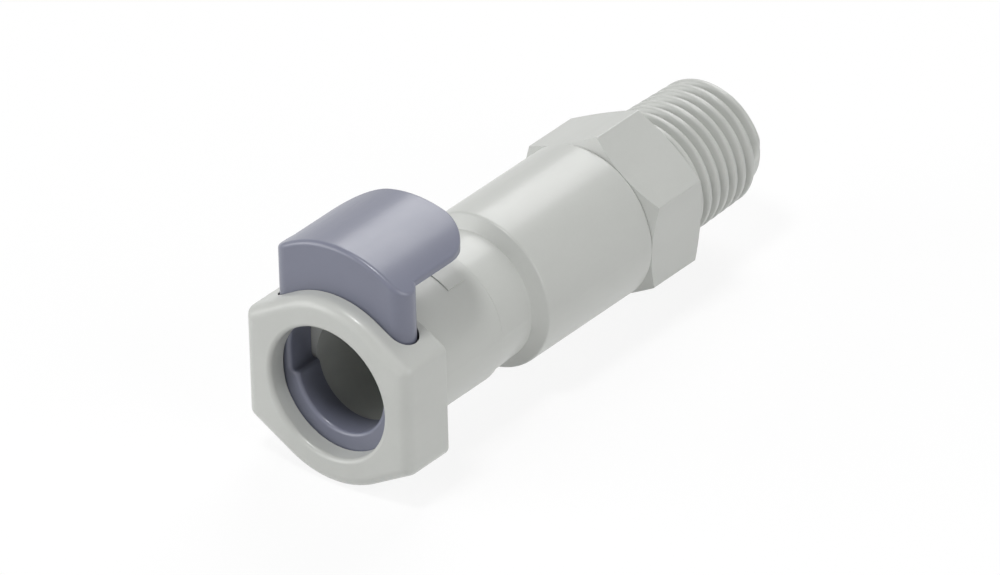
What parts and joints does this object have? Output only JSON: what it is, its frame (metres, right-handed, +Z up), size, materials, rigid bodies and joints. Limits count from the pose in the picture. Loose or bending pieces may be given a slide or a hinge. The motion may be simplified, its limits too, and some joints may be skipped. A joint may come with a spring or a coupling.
{
  "type": "quick disconnect coupling body",
  "caption": "Valved in-line quick disconnect coupling body in plastic with a thumb latch, a wrench hexagon and a tapered male pipe thread.",
  "frame": {"origin": "on the flow axis at the foot of the pipe thread, where it leaves the wrench hexagon", "axes": "+Y along the flow axis towards the thread tip, +Z up towards the thumb latch, +X to the right seen from the socket mouth"},
  "size_m": [0.02, 0.0602, 0.0252],
  "materials": {
    "grey_plastic": "smooth moulded acetal",
    "blue_plastic": "smooth moulded acetal",
    "seal_rubber": "moulded",
    "spring_steel": "drawn stainless wire"
  },
  "bodies": {
    "housing": {"socket_body": "grey_plastic", "pipe_adapter": "grey_plastic", "valve_spring": "spring_steel", "latch_spring": "spring_steel", "latch_pin_spring": "spring_steel"},
    "latch": {"thumb_latch": "blue_plastic"},
    "valve": {"valve_poppet": "grey_plastic", "poppet_seal": "seal_rubber"},
    "pin": {"latch_pin": "spring_steel"}
  },
  "joints": [
    {"name": "latch_press", "type": "slide", "parent": "housing", "child": "latch", "axis": [0, 0, -1], "range_m": [0, 0.0019], "stiffness_N_per_m": 1500, "springref_m": -0.002, "deforming": ["latch_spring"]},
    {"name": "valve_stroke", "type": "slide", "parent": "housing", "child": "valve", "axis": [0, 1, 0], "range_m": [0, 0.003], "stiffness_N_per_m": 800, "springref_m": -0.004, "deforming": ["valve_spring"]},
    {"name": "pin_retract", "type": "slide", "parent": "housing", "child": "pin", "axis": [0, 1, 0], "range_m": [0, 0.0022], "stiffness_N_per_m": 300, "springref_m": -0.002, "deforming": ["latch_pin_spring"]}
  ]
}
